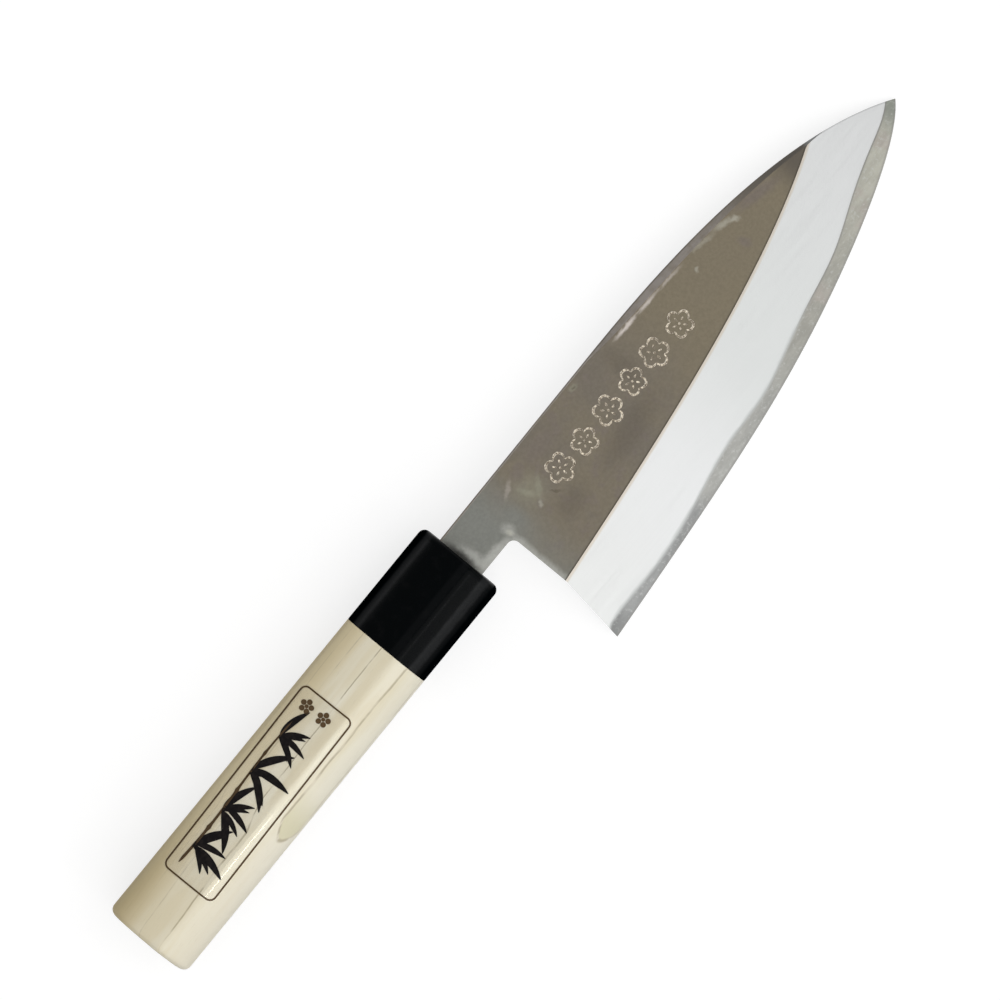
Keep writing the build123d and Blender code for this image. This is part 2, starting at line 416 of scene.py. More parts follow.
flatLook = {
    "taupe": srgb(117, 110, 99),
    "olive": srgb(127, 118, 99),
    "purple": srgb(118, 109, 103),
    "grey": srgb(126, 127, 121),
    "worn": srgb(176, 176, 170),
    "outline": srgb(70, 65, 56),
    "frontEnd": srgb(92, 86, 79),
    "streak": srgb(206, 197, 190),
    "pale": srgb(190, 188, 176),
    "green": srgb(150, 150, 132),
    "dark": srgb(88, 80, 68),
    # colour of a painted shadow, for the neck's root next to the ferrule
    "paintedShadow": srgb(44, 43, 40),
    "metallic": 0.75,
    "roughness": (0.36, 0.5),
    "relief": (0.12, 0.00004),
    "marks": (
        # colour, strength, middle x and y, half length, half width, turn in degrees
        ("worn", 0.8, 1.6, -2.6, 2.4, 5.6, 0),
        ("worn", 0.8, 5.4, -5.6, 6.4, 1.6, -3),
        ("grey", 0.7, 16.4, -4.2, 3.4, 5.0, 0),
        ("worn", 0.5, 13.0, -4.6, 1.8, 2.6, 20),
        ("worn", 0.32, 12.9, -8.0, 1.2, 3.2, 0),
        ("pale", 0.5, 12.7, -5.4, 0.8, 1.3, 20),
        ("green", 0.3, 24.5, -2.6, 5.0, 5.5, 0),
        # a painted shadow on the neck's root, where it goes into the ferrule
        ("paintedShadow", 0.9, 0.0, 0.2, 1.8, 6.4, 0),
        ("streak", 0.24, 20.7, 1.9, 3.4, 0.8, 31),
        ("purple", 0.6, 25.5, 2.6, 2.6, 2.2, 0),
        ("green", 0.42, 23.3, -2.1, 3.2, 1.1, -64),
        ("green", 0.36, 26.2, -3.8, 3.8, 0.9, 46),
        ("pale", 0.35, 23.4, -7.0, 1.1, 0.6, 45),
        ("dark", 0.5, 28.3, -7.7, 2.0, 0.5, -55),
        ("green", 0.5, 51.3, 5.4, 1.6, 0.9, 0),
        ("dark", 0.55, 51.3, 5.4, 0.8, 0.45, 0),
        ("dark", 0.26, 63.6, -1.0, 3.4, 8.0, 0),
        ("dark", 0.3, 52.0, -12.4, 15.0, 4.6, 5),
        ("dark", 0.24, 29.0, -13.0, 7.0, 4.0, 5),
        ("purple", 0.5, 34.0, 2.6, 7.0, 3.0, 0),
        # the next three pale marks carry the painted highlight on along the facet line towards the point
        ("pale", 0.28, 100.2, 3.5, 5.0, 1.0, -15),
        ("pale", 0.4, 107.6, 2.2, 4.2, 1.1, -22),
        ("pale", 0.4, 110.6, 0.9, 1.7, 0.9, -50),
        ("pale", 0.4, 94.5, 0.2, 0.9, 0.6, 40),
        ("purple", 0.7, 119.0, 0.5, 9.0, 2.2, -14),
        ("purple", 0.6, 107.6, -4.8, 1.6, 2.4, 20),
    ),
    # painted highlight along the line where the filed facet meets the flat side, where the metal is also
    # rubbed bright
    "paintedHighlight": (
        ("streak", 0.95, 71.8, 4.8, 5.2, 0.75, -1),
        ("streak", 0.75, 79.6, 4.5, 4.4, 0.65, -2),
        ("streak", 0.45, 87.6, 4.2, 5.6, 0.65, -4),
    ),
}


def marked(colour, coords, marks, breaks=None):
    for name, strength, *place in marks:
        share = mark(coords, *place) * strength
        colour = mixed(share * breaks if breaks else share, colour, flatLook[name])
    return colour


# lays the painted highlight and the rubbed bright line along the facet's edge
def burnishedAndHighlit(coords, colour):
    breaks = ramp(noise(coords, (0.315, 0.9, 0.9)), 0.3, 0.5, 0.25, 1.0)
    return marked(colour, wobbled(coords, 1.1, 0.4), flatLook["paintedHighlight"], breaks)


def darkFlat():
    material, coords = finish("darkFlat")
    x, y, _ = xyz(coords)
    look = flatLook
    clouds = noise(coords, 0.07, 3.0, 0.6)
    patches = noise(coords, 0.28, 3.0, 0.6)
    grit = noise(coords, 1.1, 3.0, 0.6)
    grinding = noise(coords, (0.06, 3.2, 1.0), 4.0, 0.65)
    colour = coated(
        look, "taupe",
        (ramp(clouds, 0.42, 0.62, 0.0, 0.5), "olive"),
        (ramp(patches, 0.5, 0.7, 0.0, 0.5), "purple"),
        (ramp(x, 56.0, 84.0, 0.0, 0.85), "olive"),
        (ramp(x, 10.0, 26.0, 1.0, 0.0) * ramp(y, -15.0, -7.0, 0.65, 1.0), "grey"),
        (ramp(patches * 2.0 + attribute("fromHeel"), 1.0, 3.1, 0.65, 0.0), "worn"),
    )
    colour = marked(colour, wobbled(coords, 0.7, 0.8), look["marks"])
    colour = brushed(colour, grinding, 0.2)
    colour = brushed(colour, ramp(grit, 0.3, 0.7), 0.14)
    colour = burnishedAndHighlit(coords, colour)
    rims = (ramp(attribute("fromSpine"), 0.05, 0.5, 0.6, 0.0),
            ramp(attribute("fromShinogi"), 0.1, 0.6, 0.75, 0.0))
    colour = coated(
        look, colour,
        (ramp(x, 123.0, 131.5, 0.0, 0.85), "frontEnd"),
        (calc("MAXIMUM", *rims), "outline"),
    )
    return dressed(material, look, colour, grinding)


bevelLook = {
    "stops": (
        (14.0, srgb(191, 192, 191)),
        (52.0, srgb(196, 197, 197)),
        (88.0, srgb(189, 191, 190)),
        (150.0, srgb(189, 190, 190)),
    ),
    "top": srgb(180, 172, 160),
    "weld": srgb(166, 168, 167),
    "rim": srgb(146, 147, 147),
    "metallic": 0.8,
    "roughness": (0.3, 0.42),
    "relief": (0.1, 0.00003),
}


def brightBevel():
    material, coords = finish("brightBevel")
    x = xyz(coords)[0]
    look = bevelLook
    lines = noise(coords, (0.03, 1.6, 1.0), 4.0, 0.6)
    mist = noise(coords, (0.175, 0.35, 0.35)) * 0.9
    # the weld is misty at the heel and crisp towards the point
    fade = ramp(mist + attribute("fromWeld"), 0.3, 1.2, 0.85, 0.0)
    colour = coated(
        look, brushed(inTurn(x, look["stops"]), lines, 0.16),
        (ramp(attribute("fromShinogi"), -1.0, -0.35, 0.0, 0.9), "top"),
        (fade * ramp(x, 96.0, 112.0, 1.0, 0.3), "weld"),
        (ramp(attribute("fromSpine"), 0.1, 0.55, 0.6, 0.0), "rim"),
    )
    return dressed(material, look, colour, lines)


spineLook = {
    "facet": srgb(160, 153, 147),
    "dark": srgb(104, 99, 92),
    "brown": srgb(134, 125, 110),
    "rim": bevelLook["rim"],
    "metallic": 0.7,
    "roughness": (0.38, 0.55),
    "relief": (0.15, 0.00005),
}


def filedSpine():
    material, coords = finish("filedSpine")
    x = xyz(coords)[0]
    look = spineLook
    filing = noise(coords, (0.1, 2.6, 2.6), 4.0, 0.65)
    patches = noise(coords, 0.3, 3.0, 0.6)
    colour = coated(
        look, "dark",
        (ramp(attribute("fromSpine"), 0.12, 0.5), "facet"),
        (ramp(patches, 0.35, 0.7, 0.0, 0.55), "brown"),
    )
    colour = brushed(burnishedAndHighlit(coords, colour), filing, 0.4)
    # the facet darkens towards the point and runs out into the bevel
    colour = coated(
        look, colour,
        (ramp(x, 96.0, 124.0, 0.0, 0.6), "brown"),
        (ramp(x, 104.0, 131.0), "dark"),
        (ramp(x, 135.2, 138.0), "rim"),
    )
    return dressed(material, look, colour, filing)


steelLook = {
    "stops": (
        (10.0, srgb(112, 113, 112)),
        (20.0, srgb(132, 133, 132)),
        (28.0, srgb(132, 133, 132)),
        (38.0, srgb(124, 125, 124)),
        (46.0, srgb(128, 129, 128)),
        (54.0, srgb(147, 147, 143)),
        (74.0, srgb(143, 143, 139)),
        (104.0, srgb(141, 140, 133)),
        (150.0, srgb(157, 156, 146)),
        (158.0, srgb(126, 129, 121)),
    ),
    "rosy": srgb(150, 143, 137),
    "edge": srgb(122, 121, 118),
    "speck": srgb(176, 177, 174),
    "weld": bevelLook["weld"],
    "metallic": 0.8,
    "roughness": (0.3, 0.42),
}


def hardStrip():
    material, coords = finish("hardStrip")
    x = xyz(coords)[0]
    look = steelLook
    mottle = noise(coords, (0.175, 0.5, 0.5), 3.0, 0.6)
    grit = noise(coords, 1.2, 3.0, 0.6)
    patches = noise(coords, 0.13, 3.0, 0.6)
    rosy = ramp(patches, 0.5, 0.64, 0.0, 0.55) * ramp(x, 96.0, 110.0)
    colour = coated(look, inTurn(x, look["stops"]), (rosy, "rosy"))
    colour = brushed(colour, ramp(mottle, 0.3, 0.7), 0.3)
    weld, crisp = attribute("fromWeld"), ramp(x, 96.0, 112.0)
    colour = coated(
        look, colour,
        (ramp(grit, 0.5, 0.75, 0.0, 0.4), "speck"),
        (ramp(weld, -0.8, 0.0, 0.0, 0.8) * (1.0 - crisp), "weld"),
        (ramp(weld, -0.6, -0.15, 0.0, 0.75) * crisp, "edge"),
        (ramp(attribute("fromEdge"), 0.15, 0.8, 0.5, 0.0), "edge"),
    )
    return dressed(material, look, colour, mottle)


backLook = {
    "rim": srgb(196, 198, 197),
    "hollow": srgb(176, 179, 179),
    "metallic": 0.8,
    "roughness": (0.3, 0.42),
    "relief": (0.12, 0.00004),
}


def hollowBack():
    material, coords = finish("hollowBack")
    hollow = attribute("inHollow")
    grinding = noise(coords, (1.6, 0.05, 1.0), 4.0, 0.6)
    honing = noise(coords, (0.05, 1.8, 1.0), 3.0, 0.6)
    pattern = grinding * hollow + honing * (1.0 - hollow)
    colour = brushed(coated(backLook, "rim", (hollow, "hollow")), pattern, 0.25)
    return dressed(material, backLook, colour, pattern)


cutLook = {
    "dull": srgb(168, 158, 144),
    "bright": srgb(246, 239, 226),
    "metallic": 0.7,
    "roughness": 0.42,
}


def chiselCut():
    material, coords = finish("chiselCut")
    grain = noise(coords, 2.2)
    colour = coated(cutLook, "dull", (ramp(grain, 0.4, 0.6), "bright"))
    return dressed(material, cutLook, colour, grain)


finishes = {f.__name__: f() for f in (darkFlat, brightBevel, filedSpine, hardStrip, hollowBack, chiselCut)}
print("blade finishes made")

# The blade: iron above the weld, hard steel below it, both drawn as rings across the knife

blade = {
    "length": 150.7,
    "heelReach": 9.5,
    "heelFaceReach": 12.2,
    "heelDrop": 43.4,
    "pointDrop": 11.4,
    "neckDrop": 6.75,
    "choilRadius": 2.0,
    "spineRise": 7.1,
    "spineCrest": 7.45,
    "straightSpine": 58.8,
    "pointAngle": 34.3,
    "spineHandles": (0.24, 0.32),
    "edgeAlong": (0.0, 0.59, 0.51, 0.91, 1.0),
    "edgeUp": (0.0, 0.22, 0.26, 0.57, 1.0),
    "edgeLand": 0.12,
    "bevelWidth": 19.0,
    "bevelShares": (1.0, 1.09, 1.2, 0.93, 1.37),
    "facetDepth": 0.5,
    "facetShares": (1.0, 8.8, 0.8, 0.5),
    "layer": 0.85,
    "layerStart": 4.8,
    "layerScarf": 6.0,
    "layerShares": (1.22, 0.92, 0.79, 1.04, 1.17, 0.88, 0.97, 1.0, 0.88, 1.02, 0.87, 0.55),
    "hollowDepth": 0.32,
    "hollowRim": 2.4,
    "hollowPlaces": (0.06, 0.2, 0.4, 0.62, 0.8, 0.93),
    "hollowDepths": (0.1, 0.8, 1.0, 0.8, 0.5, 0.1),
    "hollowWidths": (0.55, 0.98, 1.0, 1.0, 0.95, 0.4),
    "shoulder": 2.5,
    "rowSpacing": 0.8,
    "ironRuns": (16, 24, 4, 4, 10),  # points on each straight run of a ring
    "ironKinds": (0, 1, 2, 2, 2),  # bevel, flat side or spine
    "steelRuns": (1, 4, 10, 2, 3, 22, 3),
    "steelKinds": (0, 0, 0, 0, 1, 1, 1),  # strip or back
}


def bladeCurves():
    b = blade
    reach = b["heelReach"] + np.array(b["edgeAlong"]) * b["length"]
    up = np.array(b["edgeUp"]) * (b["heelDrop"] - b["pointDrop"]) - b["heelDrop"]
    wide = np.array(b["bevelShares"]) * b["bevelWidth"]
    edge = bezier(np.stack([reach, up, wide], 1), np.linspace(-0.04, 1.0, 4001))
    start = np.array([b["straightSpine"], b["spineCrest"]])
    end = np.array([knife["pointReach"], -b["pointDrop"]])
    slope = start - (0, b["spineRise"])
    slope /= np.linalg.norm(slope)
    angle = math.radians(b["pointAngle"])
    tip = np.array([math.cos(angle), -math.sin(angle)])
    way = np.linalg.norm(end - start)
    first, second = b["spineHandles"]
    points = [start, start + slope * way * first, end - tip * way * second, end]
    facet = np.array(b["facetShares"]) * b["facetDepth"]
    spine = bezier([(*p, f) for p, f in zip(points, facet)], np.linspace(0, 1, 2001))
    rear = np.array([[-20.0, b["spineRise"], facet[0]], [0.0, b["spineRise"], facet[0]]])
    spine = np.concatenate([rear, spine])
    welds = np.linspace(b["heelFaceReach"], knife["pointReach"], len(b["layerShares"]))
    weld = clampedSpline(welds, np.array(b["layerShares"]) * b["layer"])
    span = knife["pointReach"] - b["heelFaceReach"]
    places = b["heelFaceReach"] + np.array(b["hollowPlaces"]) * span
    low = np.interp(places, edge[:, 0], edge[:, 1]) + b["hollowRim"]
    high = np.interp(places, spine[:, 0], spine[:, 1]) - b["hollowRim"]
    middle = clampedSpline(places, (low + high) / 2)
    half = clampedSpline(places, (high - low) / 2 * np.array(b["hollowWidths"]))
    depth = clampedSpline(places, np.array(b["hollowDepths"]) * b["hollowDepth"])
    return edge, spine, weld, middle, half, depth, places


edgeTable, spineTable, weldAt, hollowMiddle, hollowHalf, hollowDepthAt, hollowPlaces = bladeCurves()


def flatHeight(x):
    fall = knife["bladeThickness"] - knife["pointThickness"]
    return knife["bladeThickness"] - fall * x / knife["pointReach"]


def weldHeight(x):
    scarf = (x - blade["layerStart"]) / blade["layerScarf"]
    return weldAt(x) * np.clip(scarf, 0, 1)


def acrossBlade(x):
    # at one reach: the edge, the bevel's width, the spine and the facet's width
    return [np.interp(x, table[:, 0], table[:, i]) for table in (edgeTable, spineTable) for i in (1, 2)]


def crossSection(x):
    edge, wide, spine, facet = acrossBlade(x)
    land, flat = blade["edgeLand"], flatHeight(x)
    rise = (flat - land) / wide
    top = (min(edge + wide, spine), flat)
    inner, outer = (spine - facet, flat), (spine, flat - blade["facetDepth"])
    if edge + wide > inner[0]:
        fall = blade["facetDepth"] / facet
        meet = (flat - land + fall * inner[0] + rise * edge) / (rise + fall)
        meet = min(meet, spine)
        top = inner = (meet, land + rise * (meet - edge))
        if meet == spine:
            outer = inner
    weld = min(weldHeight(x), outer[1])
    foot = edge + max(weld - land, 0) / rise
    return edge, top, inner, outer, weld, foot


def runs(corners, counts):
    # points from each corner up to, not with, the next
    rows = []
    for first, second, count in zip(corners, corners[1:], counts):
        shares = np.arange(count)[:, None] / count
        rows.append(np.array(first) * (1 - shares) + np.array(second) * shares)
    return rows


def ironRing(x):
    _, top, inner, outer, weld, foot = crossSection(x)
    foot = (min(foot, top[0]), weld)
    corners = [foot, top, inner, outer, (outer[0], weld), foot]
    return np.concatenate(runs(corners, blade["ironRuns"]))


def steelRing(x):
    edge, _, _, outer, weld, foot = crossSection(x)
    spine = outer[0]
    inside = hollowPlaces[0] < x < hollowPlaces[-1]
    middle = hollowMiddle(x) if inside else (spine + edge) / 2
    half = hollowHalf(x) if inside else (spine - edge) / 6
    corners = [(edge, 0), (edge, min(blade["edgeLand"], weld)), (min(foot, spine), weld), (spine, weld),
               (spine, 0), (middle + half, 0), (middle - half, 0), (edge, 0)]
    rows = runs(corners, blade["steelRuns"])
    if inside:
        hollow = rows[5]
        hollow[:, 1] = hollowDepthAt(x) * (1 - ((hollow[:, 0] - middle) / half) ** 2)
    return np.concatenate(rows)


def ringSkin(name, maker, places, materials, kinds, counts):
    rings = np.array([[(x, y, z) for y, z in maker(x)] for x in places])
    return skin(name, rings, materials, np.repeat(kinds, counts).tolist())


def heelNotch(material):
    b = blade
    r, x, y = b["choilRadius"], b["heelFaceReach"], -b["neckDrop"]
    turns = np.radians(np.linspace(90, 0, 13))
    arc = [(x - r + r * math.cos(a), y - r + r * math.sin(a)) for a in turns]
    corner = (x, b["bevelWidth"] - b["heelDrop"])
    # the heel's face runs on a tenth past the heel, so that the cut is clean there
    heelEnd = (b["heelReach"] - (x - b["heelReach"]) * 0.1, -b["heelDrop"] - b["bevelWidth"] * 0.1)
    rear, low = -30.0, -2 * b["heelDrop"]
    outline = [(rear, y)] + arc + [corner, heelEnd, (heelEnd[0], low), (rear, low)]
    rings = [[(x, y, z) for x, y in outline] for z in (-3.0, 12.0)]
    return skin("heelNotch", np.array(rings), [material])


def bladeStations():
    b, tipStart = blade, 150.0
    rear = np.linspace(-b["shoulder"], 8.0, 8)
    body = np.arange(8.8, tipStart, b["rowSpacing"])
    tip = knife["pointReach"] - (knife["pointReach"] - tipStart) * np.linspace(1, 0, 26) ** 1.3
    return np.concatenate([rear, body, tip])


stations = bladeStations()

# Strokes cut with a chisel into the flat side: a row of plum blossoms

blossoms = {
    "Count": 6,
    "Spacing": 9.5,
    "Place": (57.2, -5.2, 0.0),
    "Petal reach": 2.3,
    "Petal radius": 1.42,
    "Petal opening": 205.0,  # degrees of each petal's arc
    "Stroke": 0.34,  # half the width of a stroke at its middle
    "Stamen start": 0.95,
    "Stamen end": 2.1,
    "Jitter": 0.5,
    "Seed": 4,
}


def grooves(curve, half):
    # a square section on its corner cuts a V, which tapers to both ends of the stroke
    arch = calc("SINE", geo("SplineParameter", out="Factor") * math.pi)
    arch = calc("POWER", calc("MAXIMUM", arch, 0.0), 0.55)
    section = geo("CurvePrimitiveCircle", {"Resolution": 4, "Radius": 1.0})
    taper = (arch * 0.88 + 0.12) * half
    ins = {"Curve": curve, "Profile Curve": section, "Scale": taper, "Fill Caps": True}
    return geo("CurveToMesh", ins)


def blossomTree(values):
    given = newTree("chiselBlossoms", values)
    stroke, seed = given["Stroke"], given["Seed"]
    opening = calc("RADIANS", given["Petal opening"])
    ins = {"Resolution": 15, "Radius": given["Petal radius"], "Sweep Angle": opening,
           "Start Angle": opening * -0.5}
    reach = vector(given["Petal reach"], 0.0, 0.0)
    petal = geo("Transform", {"Geometry": geo("CurveArc", ins, "Curve"), "Translation": reach})
    start, end = [vector(given[name], 0.0, 0.0) for name in ("Stamen start", "Stamen end")]
    stem = geo("CurvePrimitiveLine", {"Start": start, "End": end})
    stem = geo("ResampleCurve", {"Curve": stem, "Count": 6})
    dot = geo("MeshIcoSphere", {"Radius": stroke * 1.3, "Subdivisions": 1})
    petals = turned(5, joined(grooves(petal, stroke), grooves(stem, stroke * 0.75)))
    place = (geo("InputIndex") - (given["Count"] - 1.0) * 0.5) * given["Spacing"]
    shift = put("FunctionNodeRandomValue", {"Seed": seed}, data_type="FLOAT_VECTOR")
    shift = onVectors("SUBTRACT", shift, (0.5, 0.5, 0.5))
    shift = onVectors("SCALE", shift, Scale=given["Jitter"])
    shift = onVectors("MULTIPLY", shift, (1, 1, 0))
    spot = onVectors("ADD", vector(place, 0.0, 0.0), shift)
    spot = onVectors("ADD", spot, given["Place"])
    turn = vector(0.0, 0.0, randomNumber(0.0, 2 * math.pi / 5, seed))
    size = randomNumber(0.92, 1.06, seed)
    row = spread(given["Count"], spot, joined(petals, dot), Scale=size, Rotation=turn)
    row = geo("RealizeInstances", {0: row})
    x = xyz(geo("InputPosition"))[0]
    lift = vector(0.0, 0.0, given["Flat height"] - x * given["Flat slope"])
    return endTree(geo("SetPosition", {"Geometry": row, "Offset": lift}), given["Material"])


def chiselTools():
    flat = flatHeight(0.0)
    values = dict(blossoms, **{"Flat height": flat, "Flat slope": flat - flatHeight(1.0),
                               "Material": finishes["chiselCut"]})
    return cleaned(grow("chiselTools", blossomTree(values), values))


def taperedBar(name, start, startSize, end, endSize, material):
    corners = ((-0.5, -0.5), (0.5, -0.5), (0.5, 0.5), (-0.5, 0.5))
    made = [[(x, y * size[0], z * size[1] + knife["axisHeight"]) for y, z in corners]
            for x, size in ((start, startSize), (end, endSize))]
    return skin(name, np.array(made), [material])


tang = {"reach": 94.0, "height": 10.4, "thickness": 4.2, "endHeight": 6.0, "endThickness": 3.0}


def tangBar(name, spare, depth, material):
    t = tang
    front = (t["height"] + 2 * spare, t["thickness"] + 2 * spare)
    end = (t["endHeight"] + 2 * spare, t["endThickness"] + 2 * spare)
    start = -blade["shoulder"] + (0.0 if spare else 0.4)
    return taperedBar(name, start, front, -t["reach"] - depth, end, material)


def nearest(points, path):
    # distance of each point from a path of straight runs
    best = np.full(len(points), 1e9)
    for one, two in zip(path, path[1:]):
        one, run = np.array(one), np.subtract(two, one)
        share = np.clip((points - one) @ run / (run @ run), 0, 1)
        best = np.minimum(best, np.linalg.norm(points - one - share[:, None] * run, axis=1))
    return best


def markBlade(mesh):
    # how far each vertex is from the blade's lines
    b, spots = blade, vertexSpots(mesh)
    x, y = spots.T[:2]
    edge, wide, spine, _ = acrossBlade(x)
    inside = 1 - np.abs(y - hollowMiddle(x)) / hollowHalf(x)
    inside[(x < hollowPlaces[0]) | (x > hollowPlaces[-1])] = 0
    land, neck = b["edgeLand"], -b["neckDrop"]
    weldLine = edge + (weldHeight(x) - land) / (flatHeight(x) - land) * wide
    heelPath = [(-3.0, neck), (b["heelFaceReach"] - b["choilRadius"], neck),
                (b["heelFaceReach"], neck - b["choilRadius"]),
                (b["heelFaceReach"], b["bevelWidth"] - b["heelDrop"]), (b["heelReach"], -b["heelDrop"])]
    storeMarks(mesh, {
        "fromSpine": spine - y,
        "fromShinogi": y - edge - wide,
        "fromEdge": y - edge,
        "fromWeld": y - weldLine,
        "fromHeel": nearest(spots[:, :2], heelPath),
        "inHollow": np.clip(inside * 6, 0, 1),
    })


def buildBlade():
    b, spine, strip = blade, finishes["filedSpine"], finishes["hardStrip"]
    # the iron stops where the weld comes up to its top
    ends = [x for x in np.linspace(150, stations[-1], 2000)
            if crossSection(x)[3][1] <= weldHeight(x) + 1e-4]
    places = np.append(stations[stations < ends[0] - 0.02], ends[0])
    materials = [finishes["brightBevel"], finishes["darkFlat"], spine]
    iron = ringSkin("bladeIron", ironRing, places, materials, b["ironKinds"], b["ironRuns"])
    iron = combined(iron, heelNotch(spine))
    iron = combined(iron, tangBar("tangBar", 0.0, 0.0, spine), "UNION")
    iron = combined(iron, chiselTools())
    places = np.append(b["layerStart"] + 0.05, stations[stations > b["layerStart"] + 0.3])
    materials = [strip, finishes["hollowBack"]]
    steel = ringSkin("bladeSteel", steelRing, places, materials, b["steelKinds"], b["steelRuns"])
    steel = combined(steel, heelNotch(strip))
    for made, node, slotName in ((iron, "iron_body", "iron"), (steel, "steel_layer", "steel")):
        markBlade(made.data)
        settle(made, node, 8.0)


buildBlade()
print("blade built")

# Handle: one tree sweeps the chestnut-shaped section, for the ferrule and for the wood

handle = {
    "height": 25.0,
    "backDepth": 9.75,
    "ridgeRise": 10.9,
    "ridgeDrop": 3.6,
    "ridgeRound": 3.0,
    "circlePull": 0.5523,
    "spineFlank": (0.68, 0.46, 0.14),
    "edgeFlank": (0.6, 0.5, 0.2),
    "ferruleLength": 30.3,
    "ferruleWall": 6.0,
    "buttRound": 2.0,
    "buttInset": 0.02,  # keeps the wood inside the solid's own length
    "ferruleRound": 2.0,
    "seamRound": 0.18,
    "tenonRadius": 8.5,
    "tenonGap": 0.3,
    "boreRadius": 8.6,
    "slotClearance": 0.4,
    "tangClearance": 0.2,
    "tangHoleSpare": 3.0,
    "sides": 132,
    "woodRows": 130,
    "ferruleRows": 70,
}


def flankPoints(side, count):
    h = handle
    half, rise = side * h["height"] / 2, h["ridgeRise"]
    corner, ridge, fall = h["spineFlank"] if side > 0 else h["edgeFlank"]
    crest = np.array([-h["ridgeDrop"], rise])
    span = half - crest[0]
    points = [(half, 0), (half, corner * rise), crest + (span * ridge, -fall * rise), crest]
    fine = bezier(points, np.linspace(0, 1, 2001))
    # stops where the ridge's rounding begins
    first, second = [math.atan2(f[2] * rise, abs(s * h["height"] / 2 - crest[0]) * f[1])
                     for s, f in ((1, h["spineFlank"]), (-1, h["edgeFlank"]))]
    tangent = h["ridgeRound"] * math.tan((first + second) / 2)
    fine = fine[np.linalg.norm(fine - crest, axis=1) >= tangent]
    way = np.concatenate([[0], np.cumsum(np.linalg.norm(np.diff(fine, axis=0), axis=1))])
    even = np.linspace(0, way[-1], count)
    return np.stack([np.interp(even, way, fine[:, i]) for i in (0, 1)], 1)


def sectionPoints():
    h = handle
    spineSide, edgeSide = flankPoints(1, 34), flankPoints(-1, 26)
    out = spineSide[-1] - spineSide[-2]
    normal = np.array([-out[1], out[0]]) / np.linalg.norm(out)
    normal *= -1 if normal[1] > 0 else 1
    centre = spineSide[-1] + normal * h["ridgeRound"]
    angles = [math.atan2(*(p - centre)[::-1]) for p in (spineSide[-1], edgeSide[-1])]
    turn = np.linspace(*angles, 10)[1:-1]
    ridge = centre + h["ridgeRound"] * np.stack([np.cos(turn), np.sin(turn)], 1)
    pull, half, depth = h["circlePull"], h["height"] / 2, h["backDepth"]
    points = [(-half, 0), (-half, -depth * pull), (-half * pull, -depth), (0, -depth)]
    quarter = bezier(points, np.linspace(0, 1, 28))
    other = quarter[::-1] * (-1, 1)
    return np.concatenate([spineSide, ridge, edgeSide[::-1], quarter[1:], other[1:-1]])


section = sectionPoints()


def sweepTree(values):
    given = newTree("sectionSweep", values)
    curve = geo("MeshToCurve", {"Mesh": given["Section"]})
    ins = {"Size X": 1.0, "Size Y": 1.0, "Vertices X": given["Rows"], "Vertices Y": given["Sides"] + 1.0}
    grid = geo("MeshGrid", ins, "Mesh")
    along, around = [calc("ADD", part, 0.5, clamp=True) for part in xyz(geo("InputPosition"))[:2]]
    # the first and the last row close the ends, so the sweep itself runs between them
    rim = 1.0 / (given["Rows"] - 1.0)
    share = ramp(along, rim, 1.0 - rim, smooth=False)
    share = (1.0 - calc("COSINE", share * math.pi)) * 0.5
    length = given["End"] - given["Start"]
    done = share * length
    drops = []
    for label, gap in (("Start round", done), ("End round", length - done)):
        r = given[label]
        over = calc("MAXIMUM", r - gap, 0.0)
        drops.append(r - calc("SQRT", calc("MAXIMUM", r * r - over * over, 0.0)))
    half = rim * 0.5
    shown = calc("GREATER_THAN", along, half) * calc("LESS_THAN", along, 1.0 - half)
    size = (1.0 - (drops[0] + drops[1]) / given["Half height"]) * shown
    spot = geo("SampleCurve", {"Curves": curve, "Factor": around}, "Position", mode="FACTOR")
    y, z, _ = xyz(spot)
    place = vector(given["Start"] + done, y * size, z * size + given["Axis height"])
    swept = geo("SetPosition", {"Geometry": grid, "Position": place})
    swept = geo("MergeByDistance", {"Geometry": swept, "Distance": 0.0005})
    return endTree(swept, given["Material"])


def sectionMesh():
    mesh = bpy.data.meshes.new("section")
    count = len(section)
    mesh.from_pydata([(y, z, 0) for y, z in section], [(i, (i + 1) % count) for i in range(count)], [])
    return mesh


def rod(name, start, end, radius, material):
    turns = np.linspace(0, 2 * math.pi, 64, endpoint=False)
    made = [[(x, radius * math.cos(a), radius * math.sin(a) + knife["axisHeight"]) for a in turns]
            for x in (start, end)]
    return skin(name, np.array(made), [material])


woodLook = {
    "pale": srgb(237, 231, 211),
    "warm": srgb(228, 218, 190),
    "line": srgb(172, 160, 132),
    "green": srgb(206, 200, 160),
    # colour of the painted shade on the butt and along the spine-side rim
    "paintedShade": srgb(190, 172, 128),
    # colour of the painted shade on the side towards the spine
    "spineSideShade": srgb(226, 210, 170),
    # colour of the painted light on the side towards the edge
    "light": srgb(234, 229, 213),
    "pith": (34.0, -27.3),  # centre of the growth rings, sideways and up from the blade's back
    "crest": (-9.3, 0.45, 0.7),  # where a ring touches the surface, how sharply it turns, its rounding
    "lean": ((-126.0, -104.0, 1.9), (-104.0, -36.0, 1.7)),  # rise of the rings between two places
    "arch": (-88.6, -78.6, 2.05),
    # reach of each dark line, and how dark it is
    "rings": ((58.0, 0.85), (52.95, 0.95), (45.1, 0.5), (40.1, 0.3), (36.5, 0.25), (31.5, 0.5), (26.0, 0.5)),
    "roughness": (0.5, 0.66),
    "relief": (0.25, 0.00006),
    "specular": 0.3,
}


